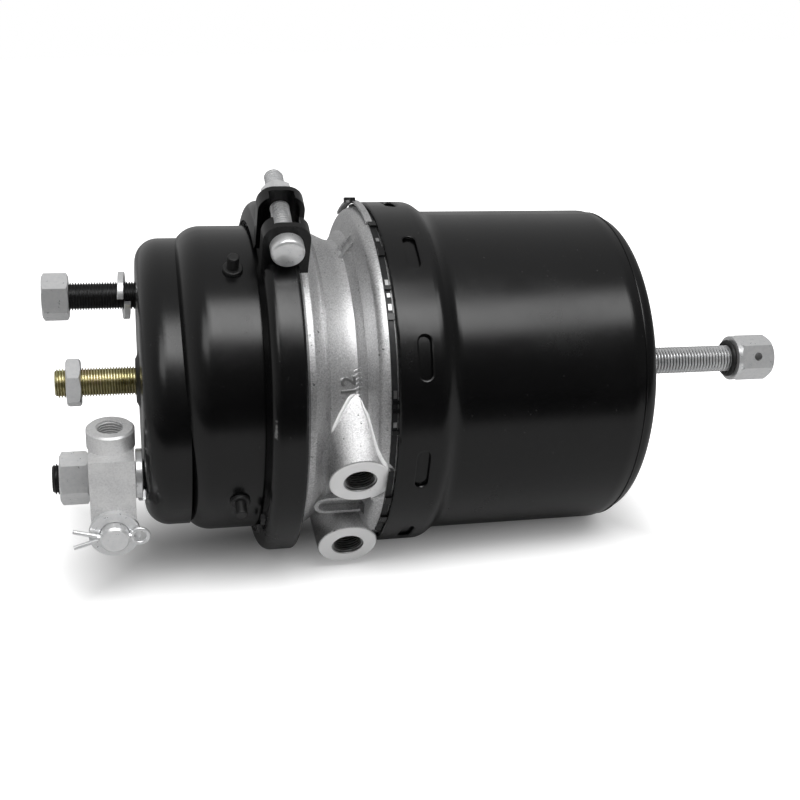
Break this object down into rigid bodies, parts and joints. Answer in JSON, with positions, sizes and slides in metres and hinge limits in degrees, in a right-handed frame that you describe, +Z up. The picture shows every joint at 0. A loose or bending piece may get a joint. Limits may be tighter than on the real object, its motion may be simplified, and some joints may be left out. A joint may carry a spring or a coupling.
{
  "type": "air brake chamber",
  "caption": "Spring brake chamber for a truck axle: pressed service housing with mounting studs and pushrod, clamped to a cast flange body and a spring housing with a release bolt.",
  "frame": {"origin": "on the chamber's axis, in the plane of the mounting face that seats on the brake bracket", "axes": "+X along the chamber's axis to the release bolt, +Z up as the chamber lies in the picture, +Y away from the viewer"},
  "size_m": [0.4335, 0.1952, 0.2164],
  "materials": {
    "black_paint": "gloss black paint on pressed steel",
    "black_steel": "black phosphate",
    "black_rubber": "matt",
    "plain_steel": "plain",
    "zinc": "bright zinc plate",
    "yellow_zinc": "yellow zinc plate",
    "zinc_casting": "zinc plate over a grainy forging",
    "cast_aluminium": "fine sand-cast grain with machined port faces",
    "white_plastic": "low-friction plastic"
  },
  "bodies": {
    "chamber": {"service_housing": "black_paint", "vent_plugs": "black_rubber", "stud_plate": "plain_steel", "stud_upper": "black_steel", "stud_lower": "black_steel", "lock_washer_lower": "zinc", "rod_seal": "black_rubber", "diaphragm": "black_rubber", "return_spring": "plain_steel", "clamp_band": "black_paint", "clamp_bolt": "zinc", "clamp_nut": "zinc", "flange_body": "cast_aluminium", "guide_bush": "white_plastic", "tube_seals": "black_rubber", "flange_o_ring": "black_rubber", "lock_ring": "plain_steel", "spring_housing": "black_paint", "release_nut": "plain_steel", "spring_piston": "cast_aluminium", "piston_seal": "black_rubber", "piston_guide_ring": "white_plastic", "push_tube": "cast_aluminium", "tube_nose": "white_plastic", "power_spring": "black_paint"},
    "pushrod_assembly": {"pushrod": "yellow_zinc", "pressure_plate": "plain_steel"},
    "pushrod_nut": {"jam_nut": "zinc"},
    "release_carrier": {"thrust_washer": "plain_steel"},
    "release_screw": {"release_bolt": "zinc", "release_hex": "zinc", "release_roll_pin": "plain_steel", "release_washer": "zinc", "release_seal": "black_rubber"},
    "clevis_fork": {"clevis": "zinc_casting", "clevis_washer": "zinc"},
    "clevis_fork_pin": {"clevis_pin": "zinc", "cotter_pin": "zinc"},
    "upper_lock_washer": {"lock_washer_upper": "zinc"},
    "upper_nut": {"stud_nut_upper": "zinc"},
    "lower_nut": {"stud_nut_lower": "zinc"}
  },
  "joints": [
    {"name": "service_stroke", "type": "slide", "parent": "chamber", "child": "pushrod_assembly", "axis": [-1, 0, 0], "range_m": [0, 0.057], "stiffness_N_per_m": 1500, "springref_m": -0.03, "deforming": ["diaphragm", "return_spring"]},
    {"name": "pushrod_nut_travel", "type": "slide", "parent": "pushrod_assembly", "child": "pushrod_nut", "axis": [-1, 0, 0], "range_m": [0, 0.02]},
    {"name": "release_travel", "type": "slide", "parent": "chamber", "child": "release_carrier", "axis": [-1, 0, 0], "range_m": [0, 0.084]},
    {"name": "release_turn", "type": "hinge", "parent": "release_carrier", "child": "release_screw", "pos_m": [0.3, 0, 0], "axis": [-1, 0, 0], "range_deg": [0, 15121]},
    {"name": "clevis_swing", "type": "hinge", "parent": "chamber", "child": "clevis_fork", "pos_m": [-0.0165, -0.04942, -0.0346], "axis": [1, 0, 0], "range_deg": [-60, 40]},
    {"name": "clevis_pin_turn", "type": "hinge", "parent": "clevis_fork", "child": "clevis_fork_pin", "pos_m": [-0.0165, -0.04671, -0.05694], "axis": [0, 0.9928, 0.1201], "continuous": true},
    {"name": "upper_washer_slide", "type": "slide", "parent": "chamber", "child": "upper_lock_washer", "axis": [-1, 0, 0], "range_m": [-0.0025, 0.0265]},
    {"name": "upper_nut_travel", "type": "slide", "parent": "chamber", "child": "upper_nut", "axis": [-1, 0, 0], "range_m": [0, 0.03]},
    {"name": "lower_nut_travel", "type": "slide", "parent": "chamber", "child": "lower_nut", "axis": [-1, 0, 0], "range_m": [0, 0.03]}
  ],
  "couplings": [
    {"joint": "release_turn", "follows": "release_travel", "rad_per_m": 3141.6}
  ]
}
